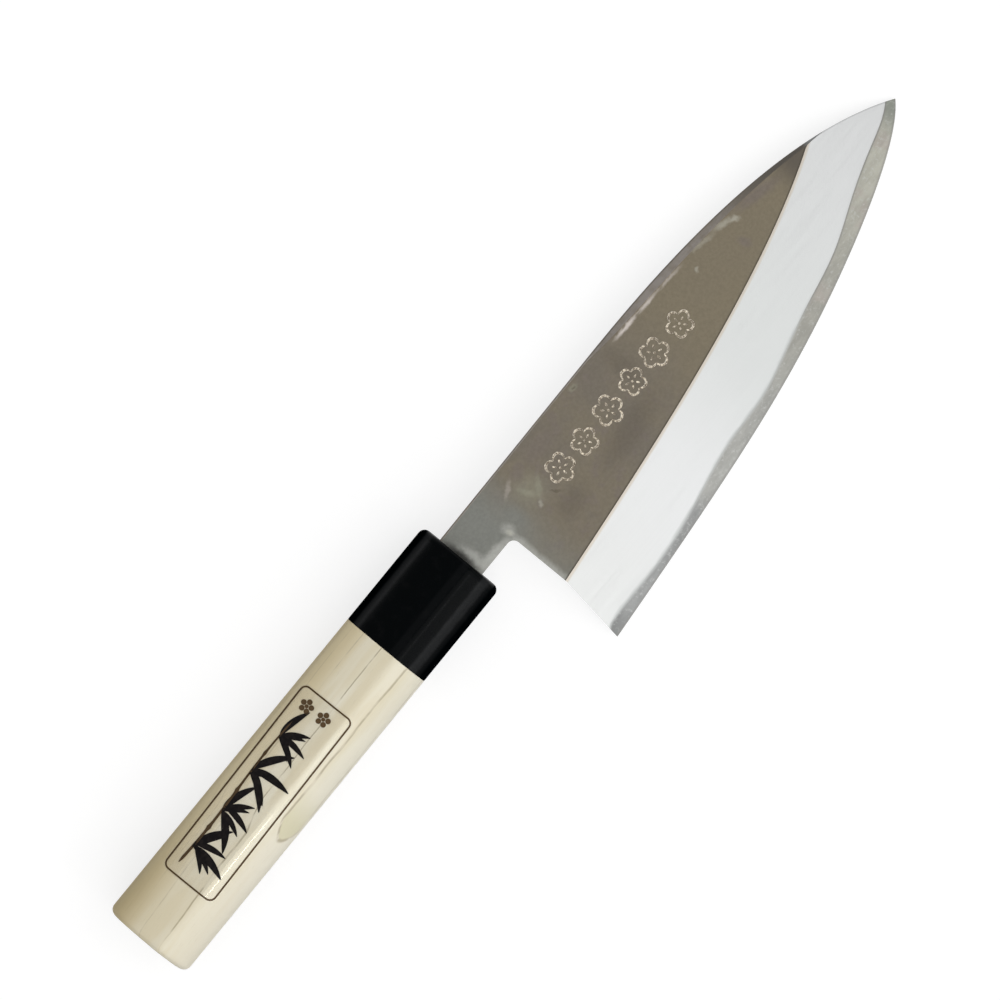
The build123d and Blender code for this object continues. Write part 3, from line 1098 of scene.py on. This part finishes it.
def ringReach(coords, x, y):
    # distance from the pith, bent so that its lines run as they do on this handle
    look = woodLook
    aside, low = look["pith"]
    ins = {"Vector": coords, "Location": (0, -aside, -low), "Scale": (0.0, 1.0, 1.0)}
    reach = onVectors("LENGTH", put("ShaderNodeMapping", ins))
    place, sharp, rounding = look["crest"]
    beside = y - place
    beside = calc("SQRT", beside * beside + rounding ** 2) - rounding
    start, end, rise = look["arch"]
    reach = beside * -sharp + reach + ramp(x, start, end, 0.0, rise)
    away = ramp(y, place + 3.0, place + 9.0)
    for start, end, rise in look["lean"]:
        reach = reach + ramp(x, start, end, 0.0, rise, smooth=False) * away
    sway = noise(coords, (0.06, 0.02, 0.02), 3.0)
    return (sway - 0.5) * 1.2 + reach


def magnolia():
    material, coords = finish("magnoliaWood")
    x, y, _ = xyz(coords)
    look = woodLook
    reach = ringReach(coords, x, y)
    dark = soft = 0.0
    for ring, strength in look["rings"]:
        past = ramp(reach, ring, ring + 0.25, 1.0, 0.0)
        dark = ramp(reach, ring - 0.4, ring - 0.05) * past * strength + dark
        soft = ramp(reach, ring - 3.0, ring, smooth=False) * past * strength + soft
    patches = noise(coords, (0.03, 0.25, 0.25))
    breaks = noise(coords, (0.12, 0.5, 0.5), 3.0, 0.6)
    fibres = noise(coords, (0.12, 5.0, 5.0), 4.0, 0.7)
    pores = noise(coords, (0.45, 6.0, 6.0), 2.0, 0.6)
    outermost = look["rings"][0][0]
    inside = ramp(reach, outermost, outermost + 0.15) * ramp(x, -81.0, -68.0, 0.6, 0.08)
    lines = dark * ramp(breaks, 0.4, 0.58, 0.15, 0.9) * ramp(y, -12.2, -10.2, 0.55, 1.0)
    butt = ramp(x, -124.0, -76.0, 1.0, 0.0)
    colour = coated(
        look, "pale",
        (ramp(patches, 0.35, 0.65), "warm"),
        (soft * 0.3, "warm"),
        # painted shade on the side towards the spine, which slopes away from the light, painted light
        # towards the edge, greenish within the arch
        (ramp(y, 3.0, 11.0, 0.0, 0.9), "spineSideShade"),
        (ramp(y, -12.0, -5.0, 0.85, 0.0), "light"),
        (inside, "green"),
        (lines, "line"),
        (ramp(pores, 0.6, 0.75, 0.0, 0.16), "line"),
        # painted shade towards the butt, most on the side that slopes to the spine
        (butt * ramp(y, 3.0, 11.0, 0.13, 0.7), "paintedShade"),
        # painted shade along the rim on the spine side, where the surface turns away
        (ramp(y, 11.2, 12.4, 0.0, 0.5), "paintedShade"),
    )
    return dressed(material, look, brushed(colour, fibres, 0.18), fibres)


ferruleLook = {
    "black": srgb(1, 3, 4),
    "dusty": srgb(12, 12, 13),
    # colour of the painted highlights
    "paintedHighlight": srgb(34, 35, 36),
    # middle, half width and strength of the painted highlight bands on the shoulders and the ridge
    "highlightBands": ((9.85, 0.35, 0.62), (-2.0, 0.5, 0.17), (-8.5, 0.65, 0.85)),
    "shine": (9.2, 11.2, 0.05, 0.0),  # the gloss fades between two distances from the middle
    "roughness": (0.24, 0.32),
}


def blackPlastic():
    material, coords = finish("blackPlastic")
    y = xyz(coords)[1]
    look = ferruleLook
    dust = noise(coords, 0.4, 4.0, 0.65)
    grain = noise(coords, 3.0, 3.0, 0.6)
    loose = dust * 0.6 + (y - 0.3)
    # painted highlights in bands along the ferrule
    paintedSheens = [(band(loose, middle - half, middle + half, 0.9) * strength, "paintedHighlight")
            for middle, half, strength in look["highlightBands"]]
    colour = coated(look, "black", (ramp(dust, 0.5, 0.75, 0.0, 0.5), "dusty"), *paintedSheens)
    shine = {"Specular IOR Level": ramp(calc("ABSOLUTE", y), *look["shine"])}
    return dressed(material, look, colour, dust, Normal=relief(grain, 0.08, 0.00002), **shine)


def buildHandle():
    h = handle
    wood, plastic = magnolia(), blackPlastic()
    joint, butt = -h["ferruleLength"], h["buttInset"] - knife["handleLength"]
    common = {"Section": None, "Half height": h["height"] / 2, "Axis height": knife["axisHeight"],
              "Sides": h["sides"]}
    values = dict(common, **{"Start": butt, "End": joint, "Start round": h["buttRound"],
                             "End round": h["seamRound"], "Rows": h["woodRows"], "Material": wood})
    tree = sweepTree(values)
    body = cleaned(grow("woodHandle", tree, values, sectionMesh()))
    tenon = rod("tenon", joint - 1.0, -h["ferruleWall"] - h["tenonGap"], h["tenonRadius"], wood)
    body = combined(body, tenon, "UNION")
    body = combined(body, tangBar("tangHole", h["tangClearance"], h["tangHoleSpare"], wood))
    settle(body, "handle_body", 32.0)
    values = dict(common, **{"Start": joint, "End": 0.0, "Start round": h["seamRound"],
                             "End round": h["ferruleRound"], "Rows": h["ferruleRows"], "Material": plastic})
    cap = cleaned(grow("ferruleCap", tree, values, sectionMesh()))
    cap = combined(cap, rod("bore", joint - 5.0, -h["ferruleWall"], h["boreRadius"], plastic))
    spare, up, down = 2 * h["slotClearance"], blade["spineRise"], blade["neckDrop"]
    size = (up + down + spare, knife["bladeThickness"] + spare)
    slot = taperedBar("slot", -h["ferruleWall"] - 5.0, size, 5.0, size, plastic)
    slot.data.transform(Matrix.Translation((0, (up - down) / 2, 0)))
    settle(combined(cap, slot), "ferrule", 32.0)


buildHandle()
print("handle built")

# Label: a clear film with a printed border and a spray of bamboo in ink

label = {
    "length": 61.0,
    "width": 18.5,
    "round": 3.0,
    "lift": 0.02,
    "thickness": 0.06,
    "rim": 1.2,  # how far in from its rim the film reaches its full thickness
    "reach": 78.7,
    "rise": 2.1,
    "turn": 1.2,
}


def topHeight(y):
    # height of the handle's upper side above the blade's back
    upper = section[section[:, 1] > 0]
    upper = upper[np.argsort(upper[:, 0])]
    return np.interp(y, upper[:, 0], upper[:, 1]) + knife["axisHeight"]


def swung(x, y, degrees):
    angle = math.radians(degrees)
    return x * math.cos(angle) - y * math.sin(angle), x * math.sin(angle) + y * math.cos(angle)


filmLook = {"tint": srgb(244, 240, 226), "gloss": (0.08, 0.14), "share": (0.2, 0.06)}


def clearFilm():
    material, coords = finish("clearFilm")
    x, y, _ = xyz(coords)
    ripple = noise(coords, (0.088, 0.22, 0.22))
    # duller towards the ferrule and on the side towards the spine
    dull = calc("MAXIMUM", ramp(x, -86.0, -76.0, 0.0, 0.3), ramp(y, 3.0, 7.0, 0.0, 0.3))
    shader = material.node_tree.nodes["Principled BSDF"]
    feed(shader, {"Base Color": filmLook["tint"], "Metallic": 1.0,
                  "Roughness": dull + ramp(ripple, 0.3, 0.7, *filmLook["gloss"]),
                  "Normal": relief(ripple, 0.08, 0.0003)})
    steep, least = filmLook["share"]
    facing = put("ShaderNodeLayerWeight", out="Facing")
    share = (calc("POWER", facing, 4.0) * steep + least) * ramp(attribute("fromRim"), 0.6, 1.0)
    ins = {0: share, 1: put("ShaderNodeBsdfTransparent"), 2: Wire(shader.outputs[0])}
    feed(material.node_tree.nodes["Material Output"], {"Surface": put("ShaderNodeMixShader", ins)})
    return material


def markRim(mesh):
    # how far in from the film's rim each vertex is, as a share of the rim's width
    x, y = vertexSpots(mesh).T[:2]
    flat = swung(x + label["reach"], y - label["rise"], -label["turn"])
    inner = np.array([label["length"], label["width"]]) / 2 - label["round"]
    over = [np.maximum(np.abs(part) - limit, 0) for part, limit in zip(flat, inner)]
    depth = label["round"] - np.hypot(*over)
    storeMarks(mesh, {"fromRim": np.clip(depth / label["rim"], 0, 1)})


def buildFilm():
    half, r = label["width"] / 2, label["round"]
    turns = np.linspace(0, math.pi / 2, 9)[:-1]
    corner = half - r + r * np.cos(turns)
    rows = np.concatenate([-corner, np.linspace(r - half, half - r, 28), corner[::-1]])
    columns = np.linspace(-1, 1, 90)
    over = np.maximum(np.abs(rows) - (half - r), 0)
    reach = label["length"] / 2 - r + np.sqrt(np.maximum(r * r - over * over, 0))
    flat = np.broadcast_to(rows, (len(columns), len(rows)))
    x, y = swung(columns[:, None] * reach[None, :], flat, label["turn"])
    x, y = x - label["reach"], y + label["rise"]
    low = topHeight(y) + label["lift"]
    # the film thins out to its rim, so that the rim hardly shows
    rim = np.minimum(half - np.abs(flat), reach[None, :] * (1 - np.abs(columns[:, None])))
    thick = label["thickness"] * (0.08 + 0.92 * np.clip(rim / label["rim"], 0, 1))
    top = np.stack([x, y, low + thick], 2)
    under = np.stack([x, y, low], 2)[:, ::-1]
    film = skin("labelFilm", np.concatenate([top, under], 1), [clearFilm()])
    markRim(film.data)
    return film


# What is printed on the film: a thin border and a stalk of bamboo with its leaves

printed = {
    "Border length": 58.0,
    "Border width": 15.6,
    "Border round": 1.6,
    "Border line": 0.22,  # half its thickness
    "Stalk length": 47.0,
    "Stalk rise": 4.7,
    "Stalk shift": -2.6,
    "Joints": 4,
    "Stalk width": 0.4,
    "Leaf length": 10.6,
    "Leaf width": 1.2,
    "Leaves": 6,  # at each joint
    "Fan": 23.0,  # degrees from one leaf to the next
    "Crest place": (24.9, 1.2, 0.0),
    "Crest gap": 5.4,
    "Crest size": 1.3,
    "Seed": 5,
}


def brushStrip(curve, half, wash):
    # a flat strip along a curve; the wash says how thin its ink is, for the finish to read
    ends = {"Start": (-1.0, 0.0, 0.0), "End": (1.0, 0.0, 0.0)}
    ins = {"Curve": curve, "Profile Curve": geo("CurvePrimitiveLine", ends), "Scale": half}
    return washed(geo("CurveToMesh", ins), wash)


def washed(geometry, wash):
    ins = {"Geometry": geometry, "Name": "wash", "Value": wash}
    return geo("StoreNamedAttribute", ins, domain="POINT")


def borderPart(given):
    ins = {"Width": given["Border length"], "Height": given["Border width"]}
    ins = {"Curve": geo("CurvePrimitiveQuadrilateral", ins), "Radius": given["Border round"], "Count": 6}
    outline = geo("FilletCurve", ins, mode="POLY")
    outline = geo("ResampleCurve", {"Curve": outline, "Length": 0.4}, mode="LENGTH")
    return brushStrip(outline, given["Border line"], 0.8)


def stalkPlace(given, along):
    # the stalk runs along the label's upper side and sinks a little towards its end
    bow = calc("SINE", along * 0.11) * 0.55
    return vector(along + given["Stalk shift"], along * -0.03 + given["Stalk rise"] + bow, 0.0)


def stalkPart(given):
    half = given["Stalk length"] * 0.5
    run = geo("CurvePrimitiveLine", {"Start": vector(half * -1.0, 0.0, 0.0), "End": vector(half, 0.0, 0.0)})
    run = geo("ResampleCurve", {"Curve": run, "Count": 220})
    along = xyz(geo("InputPosition"))[0]
    run = geo("SetPosition", {"Geometry": run, "Position": stalkPlace(given, along)})
    # swollen on both sides of every joint, thinner towards the tip
    share = geo("SplineParameter", out="Factor")
    part = calc("FRACT", share * given["Joints"])
    swell = calc("POWER", calc("ABSOLUTE", part * 2.0 - 1.0), 9.0) * 0.7 + 0.8
    thin = (share * -0.5 + 1.2) * band(share, 0.04, 0.93, 0.05)
    return brushStrip(run, swell * thin * given["Stalk width"], 0.7)


def leafPart(given):
    # a stroke of the brush: it swells at once, then runs out to a long point
    length = given["Leaf length"]
    ins = {"Resolution": 22, "Start": (0.0, 0.0, 0.0), "Middle": vector(length * 0.45, length * 0.1, 0.0),
           "End": vector(length, length * -0.08, 0.0)}
    share = geo("SplineParameter", out="Factor")
    rest = calc("MAXIMUM", 1.0 - share, 0.0)
    swell = calc("POWER", share, 0.7) * calc("POWER", rest, 0.95) * 2.3 + 0.08
    return brushStrip(geo("CurveQuadraticBezier", ins), swell * given["Leaf width"], 0.0)


def leavesPart(given):
    # from the middle of every length of the stalk a fan of leaves hangs down
    joints, leaves, seed = given["Joints"], given["Leaves"], given["Seed"]
    index = geo("InputIndex")
    joint = calc("FLOOR", (index + 0.5) / leaves)
    number = index - joint * leaves
    place = (joint - (joints * 0.5 - 0.5)) * (given["Stalk length"] / joints)
    root = stalkPlace(given, place + randomNumber(-0.9, 0.9, seed + 1.0))
    fan = (number - (leaves * 0.5 - 0.5)) * given["Fan"]
    lean = fan - 76.0 + randomNumber(-12.0, 12.0, seed + 2.0)
    size = randomNumber(0.62, 1.05, seed + 3.0)
    turn = vector(0.0, 0.0, calc("RADIANS", lean))
    return spread(joints * leaves, root, leafPart(given), Rotation=turn, Scale=size)


def crestPart(given):
    # two plum crests: five dots round a sixth
    size = given["Crest size"]
    petal, middle = [geo("MeshCircle", {"Vertices": 18, "Radius": size * share}, fill_type="NGON")
                     for share in (0.56, 0.4)]
    petal = geo("Transform", {"Geometry": petal, "Translation": vector(size, 0.0, 0.0)})
    height = (geo("InputIndex") - 0.5) * given["Crest gap"]
    spot = onVectors("ADD", vector(0.0, height, 0.0), given["Crest place"])
    pair = spread(2, spot, joined(turned(5, petal), middle))
    return washed(geo("RealizeInstances", {0: pair}), 0.9)


def printTree(values):
    given = newTree("bambooPrint", values)
    parts = [part(given) for part in (borderPart, stalkPart, leavesPart, crestPart)]
    flat = geo("RealizeInstances", {0: joined(*parts)})
    # no leaf crosses the border
    x, y, _ = xyz(geo("InputPosition"))
    over = [calc("GREATER_THAN", calc("ABSOLUTE", place), given[limit] * 0.5 + 0.3)
            for place, limit in ((x, "Border length"), (y, "Border width"))]
    flat = geo("DeleteGeometry", {"Geometry": flat, "Selection": calc("MAXIMUM", *over)})
    turn = vector(0.0, 0.0, calc("RADIANS", given["Turn"]))
    flat = geo("Transform", {"Geometry": flat, "Rotation": turn, "Translation": given["Place"]})
    # the print is dropped on to the film from above
    film = geo("ObjectInfo", {0: given["Film"]}, "Geometry")
    ins = {"Target Geometry": film, "Ray Direction": (0.0, 0.0, -1.0), "Ray Length": 100.0}
    isHit, spot, normal = geo("Raycast", ins, ["Is Hit", "Hit Position", "Hit Normal"])
    spot = onVectors("ADD", spot, onVectors("SCALE", normal, Scale=given["Lift"]))
    draped = geo("SetPosition", {"Geometry": flat, "Selection": isHit, "Position": spot})
    return endTree(draped, given["Material"])


inkLook = {
    "black": srgb(16, 13, 14),
    "washedOut": srgb(32, 27, 26),
    "brown": srgb(96, 76, 52),
    "roughness": (0.45, 0.6),
    "specular": 0.12,
}


def printInk():
    material, coords = finish("printInk")
    cloud = noise(coords, 0.9, 3.0, 0.6)
    coats = (ramp(cloud, 0.4, 0.7), "washedOut"), (attribute("wash"), "brown")
    return dressed(material, inkLook, coated(inkLook, "black", *coats), cloud)


def buildPrint(film):
    above = (-label["reach"], label["rise"], 40.0)
    values = dict(printed, **{"Turn": label["turn"], "Place": above, "Film": film, "Lift": 0.006,
                              "Material": printInk()})
    ink = grow("labelPrint", printTree(values), values)
    thick = ink.modifiers.new("thickness", "SOLIDIFY")
    thick.thickness, thick.offset = 0.02, 1.0
    return cleaned(plainMesh(ink), 0.00005)


labelFilm = buildFilm()
labelPrint = buildPrint(labelFilm)
settle(labelFilm, "handle_label", 30.0)
settle(labelPrint, None, 30.0)
print("label built")

# The resin in the ferrule's slot keeps its CAD shape

resinLook = {
    "dark": srgb(58, 55, 50),
    "light": srgb(92, 88, 80),
    "roughness": 0.55,
    "relief": (0.3, 0.0001),
}


def sealResin():
    material, coords = finish("sealResin")
    grain = noise(coords, 1.6, 3.0, 0.6)
    colour = coated(resinLook, "dark", (ramp(grain, 0.35, 0.65), "light"))
    return dressed(material, resinLook, colour, grain)


frame["nodes"]["tang_seal"].data.materials[0] = sealResin()

# Floor, light and camera

stage = {
    "radius": 6.0,
    "wall": 1.4,
    "paper": 0.36,
    "floorGlow": 0.72,  # what a camera or a mirror sees on top of the paper's own light
    "wallGlow": 0.6,
    "ambient": 0.5,
    "frameWidth": 254.0,  # millimetres across the picture
    "centre": (17.5, 1.72, 2.7),
    "right": (0.63338, -0.77384, 0.0),
    "up": (0.77384, 0.63338, 0.0),
    "lens": 300.0,
    "sensor": 36.0,
    "clip": (0.05, 50),
    "lamps": {
        # name: direction in the knife's frame, width of the source in degrees, strength
        "key": ((0.1, -1.0, 1.0), 90.0, 1.75),
        "low": ((0.0, -1.0, 0.33), 14.0, 0.24),
        "fill": ((0.0, 1.0, 0.26), 14.0, 0.13),
        "strip": ((0.0, -0.88, 1.0), 8.0, 0.12),
    },
}


def paper(name, glow):
    material = newMaterial(name)
    rays = put("ShaderNodeLightPath", None, ["Is Camera Ray", "Is Glossy Ray", "Is Transmission Ray"])
    seen = calc("MAXIMUM", calc("MAXIMUM", rays[0], rays[1]), rays[2])
    feed(material.node_tree.nodes["Principled BSDF"], {
        "Base Color": (stage["paper"],) * 3 + (1,), "Roughness": 0.9, "Specular IOR Level": 0.0,
        "Emission Color": (1, 1, 1, 1), "Emission Strength": seen * glow,
    })
    return material


def buildRoom():
    turns = np.linspace(0, 2 * math.pi, 96, endpoint=False)
    rim = [(stage["radius"] * math.cos(a), stage["radius"] * math.sin(a), 0) for a in turns]
    top = [(x, y, stage["wall"]) for x, y, _ in rim]
    count = len(turns)
    floorMesh, wallMesh = [bpy.data.meshes.new(n) for n in ("floor", "wall")]
    floorMesh.from_pydata(rim, [], [list(range(count))])
    quads = [(i, i + count, (i + 1) % count + count, (i + 1) % count) for i in range(count)]
    wallMesh.from_pydata(rim + top, [], quads)
    for mesh, glow in ((floorMesh, "floorGlow"), (wallMesh, "wallGlow")):
        mesh.materials.append(paper(mesh.name + "Paper", stage[glow]))
        newObject(mesh.name, mesh)


def buildLight(turn):
    world = bpy.context.scene.world = bpy.data.worlds.new("studio")
    world.use_nodes = True
    feed(world.node_tree.nodes["Background"], {"Color": (1, 1, 1, 1), "Strength": stage["ambient"]})
    for name, (way, width, strength) in stage["lamps"].items():
        lamp = bpy.data.lights.new(name, "SUN")
        lamp.angle, lamp.energy = math.radians(width), strength
        holder = newObject(name, lamp)
        holder.location = turn @ Vector(way)
        holder.rotation_euler = (turn @ Vector(way)).to_track_quat("Z", "Y").to_euler()


def buildCamera(turn):
    s = stage
    camera = bpy.data.cameras.new("camera")
    camera.lens, camera.sensor_width = s["lens"], s["sensor"]
    camera.clip_start, camera.clip_end = s["clip"]
    distance = s["frameWidth"] / 1000 * s["lens"] / s["sensor"]
    right, up = turn @ Vector(s["right"]), turn @ Vector(s["up"])
    back = right.cross(up)
    facing = Matrix((right, up, back)).transposed().to_4x4()
    place = toTable @ Vector(s["centre"]) + back * distance
    holder = bpy.context.scene.camera = newObject("camera", camera)
    holder.matrix_world = Matrix.Translation(place) @ facing


tableTurn = toTable.to_3x3().normalized()
buildRoom()
buildLight(tableTurn)
buildCamera(tableTurn)
bpy.context.scene.view_settings.view_transform = "Standard"
print("stage ready")
